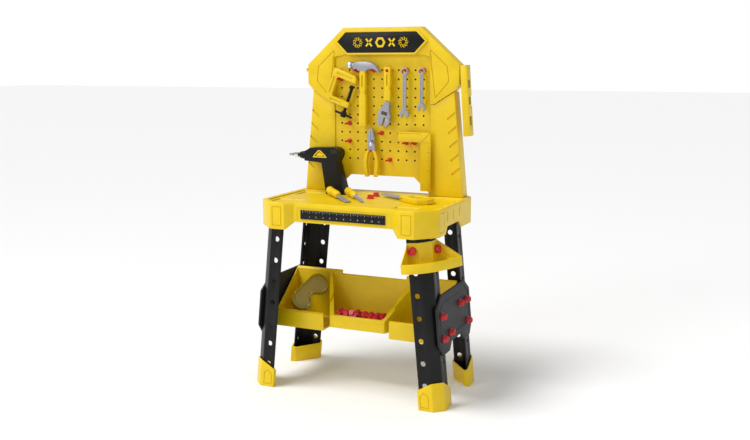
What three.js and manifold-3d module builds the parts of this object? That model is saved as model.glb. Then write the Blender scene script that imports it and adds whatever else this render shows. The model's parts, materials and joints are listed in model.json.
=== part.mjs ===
// Toy tool bench: a splayed four-legged bench with a perforated back board, a storage tray,
// a corner bin and a set of play tools. Millimetres, +Z up, +X to the user's right, -Y to the user.
import * as THREE from "three";
import { mergeVertices } from "three/addons/utils/BufferGeometryUtils.js";
import Module from "manifold-3d";

const wasm = await Module();
wasm.setup();

// Driving dimensions
const HEIGHT = 950;
const TOP_Z = 504; // rim of the worktop
const DECK_Z = 500; // working surface inside the rim
const DECK_UNDER = 496;
const SKIRT_Z = 435; // lowest edge of the worktop's skirt
const APRON_Z = 454; // bottom of the apron between the corner blocks
const TOP_HALF_W = 246;
const TOP_FRONT = -158.6;
const TOP_BACK = 158;
const APRON_Y = -142;
const LEDGE_Y = 98; // the raised ledge behind this line carries the back panel
const WALL = 3;
const GAP = 0.3; // clearance between pieces that touch

const LEG_X = 212; // inner edge of a leg at floor level
const LEG_Y = 138; // outer face of a leg, front and back
const LEG_FLAT = 34;
const LEG_W = 56;
const LEG_D = 60;
const SPLAY = 0.0964; // sideways lean of a leg per unit of height
const LEAN = Math.atan(SPLAY);
const LEG_HOLE_Z = 63.5;
const LEG_PITCH = 56.8;
const LEG_HOLES = 7;
const LEG_HOLE_U = 17;
const FLANGE_HOLE_V = 42;

const BOARD_Y = 112; // front face of the peg board
const BOARD_T = 6;
const BACK_Y = 150; // rear face of the columns
const GRID = 24; // peg hole spacing
const GRID_TOP = 837;
const PEG_OUT = 32;
const PEG_R = 2.8;

const SIDES = [-1, 1];
const group = new THREE.Group();
const bench = new THREE.Group();
group.add(bench);

// Finishes
const finish = (color, roughness, metalness = 0) =>
  new THREE.MeshStandardMaterial({ color, roughness, metalness });
const yellow = finish(0xf2c80a, 0.4);
const black = finish(0x141416, 0.45);
const charcoal = finish(0x3d3f42, 0.5);
const red = finish(0xc8202b, 0.38);
const grey = finish(0xa7a9b0, 0.42);
const smoke = finish(0xb8a21c, 0.25);

// ---- shape helpers ----
function outline(points) {
  if (points instanceof THREE.Shape) return points;
  return new THREE.Shape(points.map(([u, v]) => new THREE.Vector2(u, v)));
}

function extrude(shape, depth, curveSegments = 10) {
  return new THREE.ExtrudeGeometry(shape, { depth, bevelEnabled: false, curveSegments });
}

// Outline in X-Y, standing from z0 to z1.
function prismZ(points, z0, z1) {
  return extrude(outline(points), z1 - z0).translate(0, 0, z0);
}

// Outline in X-Z, from y0 (front) to y1 (back).
function plateY(points, y0, y1, curveSegments) {
  const geometry = extrude(outline(points), y1 - y0, curveSegments);
  return geometry.rotateX(Math.PI / 2).translate(0, y1, 0);
}

// Outline in Y-Z, from x0 to x1.
function plateX(points, x0, x1) {
  const turn = new THREE.Matrix4().makeBasis(
    new THREE.Vector3(0, 1, 0),
    new THREE.Vector3(0, 0, 1),
    new THREE.Vector3(1, 0, 0),
  );
  const geometry = extrude(outline(points), x1 - x0);
  return geometry.applyMatrix4(turn).translate(x0, 0, 0);
}

function block(x0, x1, y0, y1, z0, z1) {
  const geometry = new THREE.BoxGeometry(x1 - x0, y1 - y0, z1 - z0);
  return geometry.translate((x0 + x1) / 2, (y0 + y1) / 2, (z0 + z1) / 2);
}

// Round bar between two heights along one axis: "x", "y" or "z".
function bar(axis, r, from, to, a, b, sides = 16) {
  const geometry = new THREE.CylinderGeometry(r, r, to - from, sides);
  const middle = (from + to) / 2;
  if (axis === "x") return geometry.rotateZ(-Math.PI / 2).translate(middle, a, b);
  if (axis === "y") return geometry.translate(a, middle, b);
  return geometry.rotateX(Math.PI / 2).translate(a, b, middle);
}

// Turned piece: profile of [radius, height] pairs about the Z axis.
function turned(profile, sides = 16) {
  return new THREE.LatheGeometry(profile.map(([r, h]) => new THREE.Vector2(r, h)), sides).rotateX(
    Math.PI / 2,
  );
}

function solid(geometry) {
  if (!geometry.isBufferGeometry) return geometry;
  const bare = geometry.clone();
  bare.deleteAttribute("normal");
  bare.deleteAttribute("uv");
  const merged = mergeVertices(bare, 1e-4);
  const body = new wasm.Manifold(
    new wasm.Mesh({
      numProp: 3,
      vertProperties: new Float32Array(merged.attributes.position.array),
      triVerts: new Uint32Array(merged.index.array),
    }),
  );
  if (body.volume() <= 0) throw new Error("a shape is inside out");
  return body;
}

function join(first, ...others) {
  return others.reduce((body, other) => body.add(solid(other)), solid(first));
}

function cut(first, ...others) {
  return others.reduce((body, other) => body.subtract(solid(other)), solid(first));
}

function toGeometry(body) {
  const mesh = body.getMesh();
  const geometry = new THREE.BufferGeometry();
  geometry.setAttribute("position", new THREE.BufferAttribute(mesh.vertProperties, 3));
  geometry.setIndex(new THREE.BufferAttribute(mesh.triVerts, 1));
  geometry.computeVertexNormals();
  return geometry;
}

function piece(name, shape, material, parent = bench) {
  const geometry = shape.isBufferGeometry ? shape : toGeometry(shape);
  const mesh = new THREE.Mesh(geometry, material);
  mesh.name = name;
  parent.add(mesh);
  return mesh;
}

// The same outline moved inwards by a distance: each corner is where its two moved edges meet.
function inset(points, distance) {
  const area = points.reduce((sum, [x, y], i) => {
    const [u, v] = points[(i + 1) % points.length];
    return sum + (x * v - u * y) / 2;
  }, 0);
  const side = Math.sign(area) * distance;
  return points.map((point, i) => {
    const before = points[(i + points.length - 1) % points.length];
    const after = points[(i + 1) % points.length];
    const a = new THREE.Vector2(point[0] - before[0], point[1] - before[1]).normalize();
    const b = new THREE.Vector2(after[0] - point[0], after[1] - point[1]).normalize();
    const shift = (side * (1 - a.dot(b))) / (a.x * b.y - a.y * b.x || 1);
    const straight = Math.abs(a.x * b.y - a.y * b.x) < 1e-6;
    if (straight) return [point[0] - a.y * side, point[1] + a.x * side];
    return [point[0] - a.y * side + a.x * -shift, point[1] + a.x * side + a.y * -shift];
  });
}

// Sideways lean that follows the legs on one side of the bench.
function lean(geometry, side) {
  const shear = new THREE.Matrix4().makeShear(0, 0, 0, 0, -side * SPLAY, 0);
  return geometry.applyMatrix4(shear);
}

function mirrored(points, side) {
  return points.map(([x, y]) => [x * side, y]);
}

// ---- worktop ----
function worktop() {
  const half = [
    [138, APRON_Y],
    [157, TOP_FRONT],
    [199, TOP_FRONT],
    [TOP_HALF_W, -111.5],
    [TOP_HALF_W, 144],
    [232, TOP_BACK],
  ];
  const edge = [...half, ...mirrored(half, -1).reverse()];
  const cavity = prismZ(inset(edge, WALL), SKIRT_Z - 1, DECK_UNDER);
  const well = solid(prismZ(inset(edge, 14), DECK_Z, TOP_Z + 1)).intersect(
    solid(block(-TOP_HALF_W, TOP_HALF_W, TOP_FRONT, LEDGE_Y, DECK_Z - 1, TOP_Z + 2)),
  );
  const frontArch = [[-136, APRON_Z], [136, APRON_Z], [157, SKIRT_Z - 1], [-157, SKIRT_Z - 1]];
  const sideArch = [[-48, APRON_Z], [44, APRON_Z], [62, SKIRT_Z - 1], [-62, SKIRT_Z - 1]];
  const arches = plateX(sideArch, -TOP_HALF_W - 10, TOP_HALF_W + 10);
  const passage = plateY(frontArch, TOP_FRONT - 10, TOP_BACK + 10);
  return cut(prismZ(edge, SKIRT_Z, TOP_Z), cavity, well, arches, passage);
}
piece("worktop", worktop(), yellow);

const RULER_HALF = 117;
piece("ruler_strip", block(-RULER_HALF, RULER_HALF, APRON_Y - 1.8, APRON_Y - GAP, 463, 486), black);

// ---- legs and feet ----
function legOutline(side, end) {
  const inner = LEG_FLAT - WALL * 0.4;
  const section = [
    [0, 0],
    [LEG_FLAT, 0],
    [LEG_W, LEG_W - LEG_FLAT],
    [LEG_W, LEG_D],
    [LEG_W - WALL, LEG_D],
    [LEG_W - WALL, LEG_W - LEG_FLAT + WALL * 0.4],
    [inner, WALL],
    [0, WALL],
  ];
  return section.map(([u, v]) => [side * (LEG_X + u), end * (LEG_Y - v)]);
}

function leg(side, end) {
  const post = lean(prismZ(legOutline(side, end), 4, DECK_UNDER - GAP), side);
  const holes = [];
  for (let i = 0; i < LEG_HOLES; i += 1) {
    const z = LEG_HOLE_Z + i * LEG_PITCH;
    const x = side * (LEG_X - SPLAY * z);
    const face = end * LEG_Y;
    holes.push(bar("y", 7, face - 6, face + 6, x + side * LEG_HOLE_U, z, 12));
    const wall = x + side * LEG_W;
    holes.push(bar("x", 5, wall - 6, wall + 6, end * (LEG_Y - FLANGE_HOLE_V), z, 10));
  }
  return cut(post, ...holes);
}

// Shoe that closes round the bottom of a leg, with a top that rises to its outer corner.
function foot(side, end) {
  const skin = 3.5;
  const section = [
    [-4, -4],
    [LEG_FLAT + 1.8, -4],
    [LEG_W + 4, 20.2],
    [LEG_W + 4, LEG_D + 8],
    [46, LEG_D + 4],
    [-4, 8],
  ];
  const plan = section.map(([u, v]) => [side * (LEG_X + u), end * (LEG_Y - v)]);
  const low = 45;
  const high = 76;
  const corner = [side * (LEG_X + 46), end * (LEG_Y - 9)];
  const inner = [side * (LEG_X + 20), end * (LEG_Y - 35)];
  const run = Math.hypot(corner[0] - inner[0], corner[1] - inner[1]);
  const slope = Math.atan2(high - low, run);
  const lid = new THREE.BoxGeometry(300, 300, 100).translate(0, 0, 50);
  lid.rotateX(slope);
  lid.rotateZ(Math.atan2(corner[1] - inner[1], corner[0] - inner[0]) - Math.PI / 2);
  lid.translate(inner[0], inner[1], low);
  const socket = lean(prismZ(inset(plan, skin), 3, 120), side);
  return cut(lean(prismZ(plan, 0, 90), side), lid, socket);
}

for (const [endName, end] of [["front", -1], ["back", 1]]) {
  for (const [sideName, side] of [["left", -1], ["right", 1]]) {
    piece(`leg_${endName}_${sideName}`, leg(side, end), black);
    piece(`foot_${endName}_${sideName}`, foot(side, end), yellow);
  }
}

// ---- leaning frame of one pair of legs: u outwards, v backwards from the leg's face, w along it ----
function legFrame(side) {
  const frame = new THREE.Group();
  frame.position.set(side * LEG_X, 0, 0);
  frame.rotation.y = -side * LEAN;
  bench.add(frame);
  return frame;
}
const frames = new Map(SIDES.map((side) => [side, legFrame(side)]));

// Distance along the leaning frame of a leg hole at a given height, u outwards from the inner edge.
function alongLeg(u, index) {
  const z = LEG_HOLE_Z + index * LEG_PITCH;
  return z * Math.cos(LEAN) - (u - SPLAY * z) * Math.sin(LEAN);
}

// ---- side panels, each with its six bolts ----
const BOLT_R = 10;
const PANEL_T = 5;
const PANEL_IN = LEG_W + 0.5;
const BOLT_LOW = alongLeg(LEG_W, 2);
const BOLT_HIGH = alongLeg(LEG_W, 3);
const BOLT_Y = LEG_Y - FLANGE_HOLE_V;
const BOLT_PLACES = [
  [-BOLT_Y, BOLT_HIGH],
  [-BOLT_Y, BOLT_LOW],
  [BOLT_Y, BOLT_HIGH],
  [BOLT_Y, BOLT_LOW],
  [43, BOLT_HIGH + 2],
  [-43, BOLT_LOW + 4],
];

function sidePanel(side) {
  const half = [[0, 152], [36, 152], [56, 132], [106, 132], [129, 160], [129, 255], [92, 283], [0, 283]];
  const points = [...half.slice(1, -1), ...mirrored(half.slice(1, -1), -1).reverse()];
  const span = [side * PANEL_IN, side * (PANEL_IN + PANEL_T)].sort((a, b) => a - b);
  const bolts = BOLT_PLACES.map(([y, z]) => {
    const ends = [side * (PANEL_IN + 2), side * (PANEL_IN + PANEL_T + 13)].sort((a, b) => a - b);
    return bar("x", BOLT_R, ends[0], ends[1], y, z, 12);
  });
  return join(plateX(points, span[0], span[1]), ...bolts);
}
piece("side_panel_left", sidePanel(-1), charcoal, frames.get(-1));
piece("side_panel_right", sidePanel(1), charcoal, frames.get(1));

// ---- storage shelf: a deep middle tray between two raised end trays ----
const SHELF_HALF = 237;
const SHELF_MID = 95;

function shelf() {
  const middle = [[-58, 159], [62, 159], [62, 281], [-58, 190]];
  const end = [[-66, 149], [62, 149], [62, 291], [-66, 193]];
  const body = [plateX(middle, -SHELF_MID - 12, SHELF_MID + 12)];
  const wells = [prismZ([[-68, -52], [68, -52], [124, 56], [-124, 56]], 164, 310)];
  for (const side of SIDES) {
    const span = [side * SHELF_MID, side * SHELF_HALF].sort((a, b) => a - b);
    body.push(plateX(end, span[0], span[1]));
    const tray = [[78, -60], [SHELF_HALF - WALL, -60], [SHELF_HALF - WALL, 56], [134, 56]];
    wells.push(prismZ(mirrored(tray, side), 154, 310));
  }
  return cut(join(...body), ...wells);
}
piece("storage_shelf", shelf(), yellow);

// ---- corner bin, hung on the front right leg ----
const BIN_FLOOR = 356;
const BIN_RIM = 380;
const BIN_TOP = 424;
const LEG_FACE = -LEG_Y;
const FRONT_HOLE_W = alongLeg(LEG_HOLE_U, 6);
const SIDE_HOLE_W = alongLeg(LEG_W, 6);

function binOutline(offset) {
  const shape = new THREE.Shape();
  const front = LEG_FACE - 0.4 - offset;
  const outer = LEG_W + 0.4 + offset;
  const bevel = LEG_W - LEG_FLAT + offset * 0.4;
  shape.moveTo(2 + offset, front);
  shape.lineTo(outer - bevel + offset * 0.2, front);
  shape.lineTo(outer, front + bevel);
  shape.lineTo(outer, LEG_FACE + 56 - offset);
  shape.lineTo(121 - offset * 2.2, LEG_FACE + 56 - offset);
  shape.quadraticCurveTo(82, LEG_FACE - 58 + offset, 2 + offset, LEG_FACE - 54 + offset);
  shape.closePath();
  return shape;
}

function cornerBin() {
  const tray = cut(prismZ(binOutline(0), BIN_FLOOR, BIN_RIM), prismZ(binOutline(WALL), BIN_FLOOR + 3, 500));
  const front = LEG_FACE - 0.4;
  const outer = LEG_W + 0.4;
  const bevel = LEG_W - LEG_FLAT;
  const hug = [
    [2, front],
    [outer - bevel, front],
    [outer, front + bevel],
    [outer, LEG_FACE + 56],
    [outer + WALL, LEG_FACE + 56],
    [outer + WALL, front + bevel - WALL * 0.4],
    [outer - bevel + WALL * 0.4, front - WALL],
    [2, front - WALL],
  ];
  const back = prismZ(hug, BIN_FLOOR, BIN_TOP);
  const cheek = [[front, BIN_FLOOR], [front, BIN_TOP], [LEG_FACE - 54, BIN_RIM], [LEG_FACE - 54, BIN_FLOOR]];
  const leftCheek = plateX(cheek, 2, 2 + WALL);
  const wing = [[outer, BIN_FLOOR], [outer, BIN_TOP], [121, BIN_RIM], [114, BIN_FLOOR]];
  const rightCheek = plateY(wing, LEG_FACE + 56 - WALL, LEG_FACE + 56);
  const ear = bar("z", 11, BIN_RIM - 5, BIN_RIM, 96, LEG_FACE + 45, 20);
  const eye = bar("z", 5.5, BIN_RIM - 9, BIN_RIM + 5, 96, LEG_FACE + 45, 16);
  const holes = [
    bar("y", 4, LEG_FACE - 12, LEG_FACE + 6, LEG_HOLE_U, FRONT_HOLE_W, 12),
    bar("x", 4, LEG_W - 6, LEG_W + 12, LEG_FACE + FLANGE_HOLE_V, SIDE_HOLE_W, 12),
  ];
  return cut(join(tray, back, leftCheek, rightCheek, ear), eye, ...holes);
}
const binFrame = frames.get(1);
piece("corner_bin", cornerBin(), yellow, binFrame);

// Thumb screw: a fluted head and a shank, pointing along +Z from its seat.
function thumbScrew(shank) {
  const profile = [[0, -shank], [3.6, -shank], [3.6, 0], [9.6, 0], [10.6, 2], [10.6, 10], [9, 12], [0, 12]];
  return turned(profile, 14);
}
const frontScrew = piece("bin_screw_front", thumbScrew(9), red, binFrame);
frontScrew.position.set(LEG_HOLE_U, LEG_FACE - 0.4 - WALL - GAP, FRONT_HOLE_W);
frontScrew.rotation.x = Math.PI / 2;
const sideScrew = piece("bin_screw_side", thumbScrew(9), red, binFrame);
sideScrew.position.set(LEG_W + 0.4 + WALL + GAP, LEG_FACE + FLANGE_HOLE_V, SIDE_HOLE_W);
sideScrew.rotation.y = Math.PI / 2;

// ---- pegs ----
const pegX = (i) => i * GRID;
const pegZ = (j) => GRID_TOP - j * GRID;
const PEGS = [
  { name: "peg_clamp", x: pegX(-5), z: pegZ(1) },
  { name: "peg_hammer_left", x: pegX(-3), z: pegZ(0) },
  { name: "peg_hammer_right", x: pegX(-1), z: pegZ(0) },
  { name: "peg_adjustable", x: pegX(1), z: pegZ(0) },
  { name: "peg_wrench_large", x: pegX(3), z: pegZ(0) },
  { name: "peg_wrench_small", x: pegX(5), z: pegZ(0) },
  { name: "peg_square_left", x: pegX(3), z: pegZ(8) },
  { name: "peg_square_right", x: pegX(4), z: pegZ(8) },
  { name: "peg_pliers", x: pegX(-1), z: pegZ(9) },
  { name: "peg_spare_1", x: pegX(-4), z: pegZ(6) },
  { name: "peg_spare_2", x: pegX(-4), z: pegZ(8) },
  { name: "peg_spare_3", x: pegX(0), z: pegZ(7) },
  { name: "peg_spare_4", x: pegX(1), z: pegZ(10) },
];

// ---- back panel, columns, sign and hooks ----
const SHOULDER = [[112, HEIGHT], [220, 852], [220, 800], [205, 783], [150, 748]];
const COLUMN_IN = 140;

function backPanel() {
  const head = [...SHOULDER, [COLUMN_IN, 748]];
  const frameTop = [...mirrored(head, -1), ...head.slice().reverse()];
  const rim = plateY(frameTop, BOARD_Y - 8, BACK_Y - 8);
  const recess = plateY(
    [[-COLUMN_IN, 700], [COLUMN_IN, 700], [COLUMN_IN, 872], [102, 880], [-102, 880], [-COLUMN_IN, 872]],
    BOARD_Y - 40,
    BOARD_Y,
  );
  const hollow = plateY(inset(frameTop, 4), BOARD_Y + BOARD_T, BACK_Y + 10);
  const board = block(-COLUMN_IN + GAP, COLUMN_IN - GAP, BOARD_Y, BOARD_Y + BOARD_T, TOP_Z + GAP, 800);
  const window = plateY(
    [[-94, 552], [94, 552], [136, 512], [136, 480], [-136, 480], [-136, 512]],
    BOARD_Y - 20,
    BOARD_Y + 20,
  );
  const holes = PEGS.map(({ x, z }) => bar("y", 3, BOARD_Y - 12, BOARD_Y + 12, x, z, 12));
  return cut(join(cut(rim, recess, hollow), board), window, ...holes);
}

const COLUMN_FOOT = 233;
const COLUMN_TOP = 206;
const COLUMN_TOP_Z = 782;

function column(side) {
  const points = [
    [COLUMN_IN, TOP_Z + GAP],
    [COLUMN_FOOT, TOP_Z + GAP],
    [COLUMN_TOP, COLUMN_TOP_Z],
    [150.5, 747.5],
    [COLUMN_IN, 747.5],
  ];
  const body = plateY(mirrored(points, side), BOARD_Y - 4, BACK_Y);
  const hollow = plateY(inset(mirrored(points, side), 3.5), BOARD_Y, BACK_Y + 5);
  return cut(body, hollow);
}

// Turned pin pointing to the user, with a round flange that stops against the board.
function peg({ name, x, z }) {
  const tail = [[0, -9], [PEG_R - 0.1, -8], [PEG_R - 0.1, GAP]];
  const pin = [[6.5, GAP], [6.5, 3], [PEG_R, 4.5], [PEG_R, PEG_OUT - 1], [0, PEG_OUT]];
  const mesh = piece(name, turned([...tail, ...pin], 12), red);
  mesh.rotation.x = Math.PI / 2;
  mesh.position.set(x, BOARD_Y, z);
}

piece("back_panel", backPanel(), yellow);
piece("column_left", column(-1), yellow);
piece("column_right", column(1), yellow);
PEGS.forEach(peg);

// ---- sign plate ----
const SIGN_Z = 910;
const SIGN_FRONT = BOARD_Y - 8 - GAP;

function sign() {
  const half = [[102, SIGN_Z + 27], [127, SIGN_Z + 3], [97, SIGN_Z - 27]];
  const points = [...half, ...mirrored(half, -1).reverse()];
  return plateY(points, SIGN_FRONT - 5, SIGN_FRONT);
}
piece("sign_plate", sign(), black);

// ---- hooks on the shoulders ----
const HOOK_Z = 836;

function hook(side) {
  const wall = 220 + GAP;
  const points = [
    [wall, HOOK_Z - 9],
    [wall + 3, HOOK_Z - 9],
    [wall + 3, HOOK_Z - 3],
    [wall + 13, HOOK_Z - 3],
    [wall + 13, HOOK_Z + 6],
    [wall + 10, HOOK_Z + 6],
    [wall + 10, HOOK_Z],
    [wall + 3, HOOK_Z],
    [wall + 3, HOOK_Z + 8],
    [wall, HOOK_Z + 8],
  ];
  return plateY(mirrored(points, side), 119, 127);
}
piece("hook_left", hook(-1), yellow);
piece("hook_right", hook(1), yellow);

// ---- spirit level on the right hook ----
const LEVEL_TILT = 0.07;
// It hangs by a strap across its pocket, behind the tip of the hook.

function level() {
  const body = block(0, 18, -16, 16, -92, 92);
  const pocket = block(-1, 14.5, -6, 6, 56, 88);
  const strap = block(3.2, 8.4, -6.5, 6.5, 78.6, 88.5);
  const vial = block(14, 20, -10, 10, -64, -40);
  const notch = block(-2, 20, 10, 20, -14, 12);
  return cut(body, cut(pocket, strap), notch, vial);
}
const levelFrame = new THREE.Group();
levelFrame.position.set(226.5, 123, 758);
levelFrame.rotation.y = -LEVEL_TILT;
bench.add(levelFrame);
piece("spirit_level", level(), yellow, levelFrame);

// ---- tools on the pegs: drawn in X-Z round their own centre, laid in the plane of the pins ----
function toolGroup(x, z, turn = 0, y = 95) {
  const frame = new THREE.Group();
  frame.position.set(x, y, z);
  frame.rotation.y = turn;
  bench.add(frame);
  return frame;
}

const HAMMER_DROP = 2.5; // lets the underside of the head rest on its two pegs

function hammer() {
  const frame = toolGroup(pegX(-2), -HAMMER_DROP);
  const grip = [
    [-8.5, 842],
    [-8.5, 790],
    [-7, 780],
    [-10, 768],
    [-10, 700],
    [-11, 688],
    [11, 688],
    [10, 700],
    [10, 768],
    [7, 780],
    [8.5, 790],
    [8.5, 842],
  ];
  const slot = plateY([[-2.2, 796], [2.2, 796], [2.2, 826], [-2.2, 826]], -12, -5);
  piece("hammer_handle", cut(plateY(grip, -8, 8), slot), yellow, frame);
  const claw = new THREE.Shape();
  claw.moveTo(-27, 842.6);
  claw.lineTo(-16, 842.6);
  claw.lineTo(-12, 838);
  claw.lineTo(12, 838);
  claw.lineTo(16, 842.6);
  claw.lineTo(27, 842.6);
  claw.quadraticCurveTo(40, 842, 50, 833);
  claw.quadraticCurveTo(38, 860, 12, 862);
  claw.lineTo(-12, 862);
  claw.lineTo(-27, 858);
  claw.closePath();
  const socket = block(-8.8, 8.8, -8.3, 8.3, 830, 842.3);
  const face = bar("x", 9.5, -46, -32, 0, 852, 16);
  const neck = bar("x", 6.5, -33, -20, 0, 852, 16);
  const split = plateY([[26, 830], [60, 830], [60, 870], [26, 870]], -1.6, 1.6);
  const head = cut(join(plateY(claw, -9, 9, 6), neck, face), socket, split);
  piece("hammer_head", head, grey, frame);
}
hammer();

// Ring-and-open-end spanner hanging from its ring.
function wrench(name, x, length, width) {
  const frame = toolGroup(x, GRID_TOP);
  const ring = 10 * width;
  const bore = 6.5 * width;
  const drop = bore - PEG_R - GAP;
  const jaw = -drop - length;
  const body = join(
    bar("y", ring, -4.5, 4.5, 0, -drop, 18),
    block(-4.6 * width, 4.6 * width, -3, 3, jaw + 10, -drop - ring * 0.7),
    bar("y", 13 * width, -4.5, 4.5, 0, jaw + 13 * width, 18),
  );
  const half = 6.2 * width;
  const opening = [[-half, jaw - 4], [-half, jaw + 9], [0, jaw + 14], [half, jaw + 9], [half, jaw - 4]];
  const mouth = plateY(opening, -9, 9);
  piece(name, cut(body, bar("y", bore, -9, 9, 0, -drop, 12), mouth), grey, frame);
}
wrench("wrench_large", pegX(3), 124, 1);
wrench("wrench_small", pegX(5), 106, 0.88);

function adjustableWrench() {
  const frame = toolGroup(pegX(1), GRID_TOP);
  const half = [[9, 8], [9, -40], [7, -48], [9, -56], [8, -80]];
  const grip = [...half, ...mirrored(half, -1).reverse()];
  const hole = bar("y", 4.4, -12, 12, 0, -1.2, 12);
  const slot = block(-2, 2, -12, -4, -40, -12);
  piece("adjustable_handle", cut(plateY(grip, -7, 7), hole, slot), yellow, frame);
  const head = new THREE.Group();
  head.position.set(0, 0, -84);
  head.rotation.y = 0.3;
  frame.add(head);
  const shoulder = [[-7, -4], [7, -4], [12, -24], [20, -34], [20, -42]];
  const fixedJaw = [[3, -42], [3, -66], [-6, -70], [-16, -50], [-16, -30]];
  const body = [...shoulder, ...fixedJaw];
  const neck = [[-7, 0.5], [7, 0.5], [8, -8], [-8, -8]];
  const track = block(4, 30, -2.5, 2.5, -44, -36);
  piece("adjustable_body", cut(join(plateY(body, -6, 6), plateY(neck, -5, 5)), track), grey, head);
  const jaw = [[8, -42.4], [20, -42.4], [22, -50], [17, -66], [8, -60]];
  const key = block(8, 18, -2.1, 2.1, -43, -36.5);
  piece("adjustable_jaw", join(plateY(jaw, -5.5, 5.5), key), grey, head);
}
adjustableWrench();

// Two arms that cross on one pivot, half the thickness each. Each has a jaw on one side
// and the handle of the other side, so that both ends open together.
const PLIERS_Z = pegZ(9) + 17; // the crotch of the handles rests on the peg
function pliersArm(side) {
  const depth = side < 0 ? [-6, -0.15] : [0.15, 6];
  const jaw = [[side * 0.4, 42], [side * 4.5, 42], [side * 11, 16], [side * 9, 12], [side * 0.4, 12]];
  const cheek = [[side * 0.6, 13], [side * 9, 13], [side * 9, 0], [side * 0.6, 0]];
  const shank = [[0, 4], [-side * 11, 0], [-side * 13, -20], [-side * 5, -20], [side * 3, -4]];
  const handle = new THREE.Shape();
  handle.moveTo(-side * 5, -17);
  handle.lineTo(-side * 13, -17);
  handle.bezierCurveTo(-side * 18, -30, -side * 26, -42, -side * 17, -88);
  handle.lineTo(-side * 8, -88);
  handle.bezierCurveTo(-side * 14, -52, -side * 14, -34, -side * 5, -17);
  return join(
    plateY(jaw, -6, 6),
    plateY(cheek, depth[0], depth[1]),
    bar("y", 9, depth[0], depth[1], 0, 0, 16),
    plateY(shank, depth[0], depth[1]),
    plateY(handle, -6, 6, 6),
  );
}

function pliers() {
  const frame = toolGroup(pegX(-1), PLIERS_Z);
  piece("pliers_arm_left", pliersArm(-1), grey, frame);
  piece("pliers_arm_right", pliersArm(1), grey, frame);
}
pliers();

function trySquare() {
  const frame = toolGroup(0, GRID_TOP - 8 * GRID + PEG_R + GAP);
  const stock = [[56, 26], [147, 26], [147, 0], [56, 0]];
  const blade = [[147, 20], [147, -130], [119, -130], [119, 20]];
  piece("try_square", join(plateY(stock, -5, 5), plateY(blade, -3, 3)), yellow, frame);
}
trySquare();

function clamp() {
  const frame = toolGroup(pegX(-5) + 8, GRID_TOP - 1.5 * GRID - 13, 0.35);
  const upper = [[-36, 46], [30, 46], [36, 38], [36, 26], [-16, 26]];
  const spine = [[-20, 22], [-20, -24]];
  const lower = [[-16, -28], [36, -28], [36, -44], [-30, -44], [-36, -38]];
  const body = plateY([...upper, ...spine, ...lower], -8, 8);
  const recess = block(-31, -25, -10, -5, -22, 24);
  const topSlot = block(-24, 24, -10, -5, 33, 38);
  const footSlot = block(-22, 14, -10, -5, -39, -34);
  const thread = bar("z", 4.8, -50, -20, 28, 0, 14);
  piece("clamp_frame", cut(body, recess, topSlot, footSlot, thread), yellow, frame);
  const screw = join(
    bar("z", 4.4, -66, 14, 28, 0, 12),
    bar("z", 7, 12, 17, 28, 0, 14),
    bar("z", 7.5, -72, -58, 28, 0, 14),
    bar("x", 3.2, 2, 54, 0, -65, 10),
  );
  piece("clamp_screw", screw, black, frame);
}
clamp();

// ---- cordless drill standing on the deck, nose to the left ----
const DRILL_Y = 77;
const DRILL_AXIS = 606;

function drill() {
  const frame = toolGroup(-7, 0, 0, DRILL_Y);
  const barrel = new THREE.Shape();
  barrel.moveTo(-204, DRILL_AXIS + 10);
  barrel.lineTo(-186, DRILL_AXIS + 20);
  barrel.lineTo(-118, DRILL_AXIS + 23);
  barrel.quadraticCurveTo(-96, DRILL_AXIS + 22, -97, DRILL_AXIS + 2);
  barrel.lineTo(-106, DRILL_AXIS - 18);
  barrel.lineTo(-88, DECK_Z + 24);
  barrel.lineTo(-80, DECK_Z + GAP);
  barrel.lineTo(-138, DECK_Z + GAP);
  barrel.lineTo(-142, DECK_Z + 24);
  barrel.lineTo(-152, DRILL_AXIS - 20);
  barrel.lineTo(-204, DRILL_AXIS - 16);
  barrel.closePath();
  const slot = block(-170, -136.5, -4.6, 4.6, 559, 582);
  const seat = bar("x", 5.4, -214, -190, 0, DRILL_AXIS - 2, 16);
  piece("drill_body", cut(plateY(barrel, -19, 19, 6), slot, seat), black, frame);
  const chuck = turned(
    [[0, -30], [3.2, -30], [3.2, 4], [9, 4], [13, 24], [5, 24.4], [5, 33], [0, 33]],
    14,
  ).rotateY(Math.PI / 2);
  piece("drill_chuck", chuck, black, frame).position.set(-204 - 24.8, 0, DRILL_AXIS - 2);
  const trigger = [[-156, 579], [-142, 579], [-142, 562], [-148, 562], [-153, 566]];
  piece("drill_trigger", plateY(trigger, -4, 4), black, frame);
}
drill();

// ---- loose tools on the deck: drawn along X from the butt, laid down at an angle ----
function layDown(x, y, z, heading, dip = 0) {
  const frame = new THREE.Group();
  frame.position.set(x, y, z);
  frame.rotation.set(0, dip, heading, "ZYX");
  bench.add(frame);
  return frame;
}

// Turned along X: profile of [radius, distance] pairs.
function turnedX(profile, sides) {
  return turned(profile, sides).rotateY(Math.PI / 2);
}

const HANDLE_R = 11;

function chisel() {
  const frame = layDown(-125, 38, DECK_Z + HANDLE_R + 4.6, -0.78, 0.075);
  const grip = turnedX([[0, 0], [8, 0.5], [HANDLE_R, 6], [9, 40], [10.5, 62], [7, 76], [0, 76]], 12);
  const blade = prismZ([[70, -7], [140, -8.5], [150, -8.5], [150, 8.5], [140, 8.5], [70, 7]], -3.2, -0.4);
  piece("chisel", join(grip, blade), yellow, frame);
}

function screwdriver() {
  const frame = layDown(-74, 48, DECK_Z + HANDLE_R + 4, -0.84, 0.08);
  const grip = [[0, 0], [8, 0.5], [HANDLE_R, 6], [8.5, 44], [10, 60], [6, 72]];
  const shaft = [[4, 74], [4, 128], [1.6, 138], [0, 138]];
  piece("screwdriver", turnedX([...grip, ...shaft], 12), yellow, frame);
}
chisel();
screwdriver();

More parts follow.
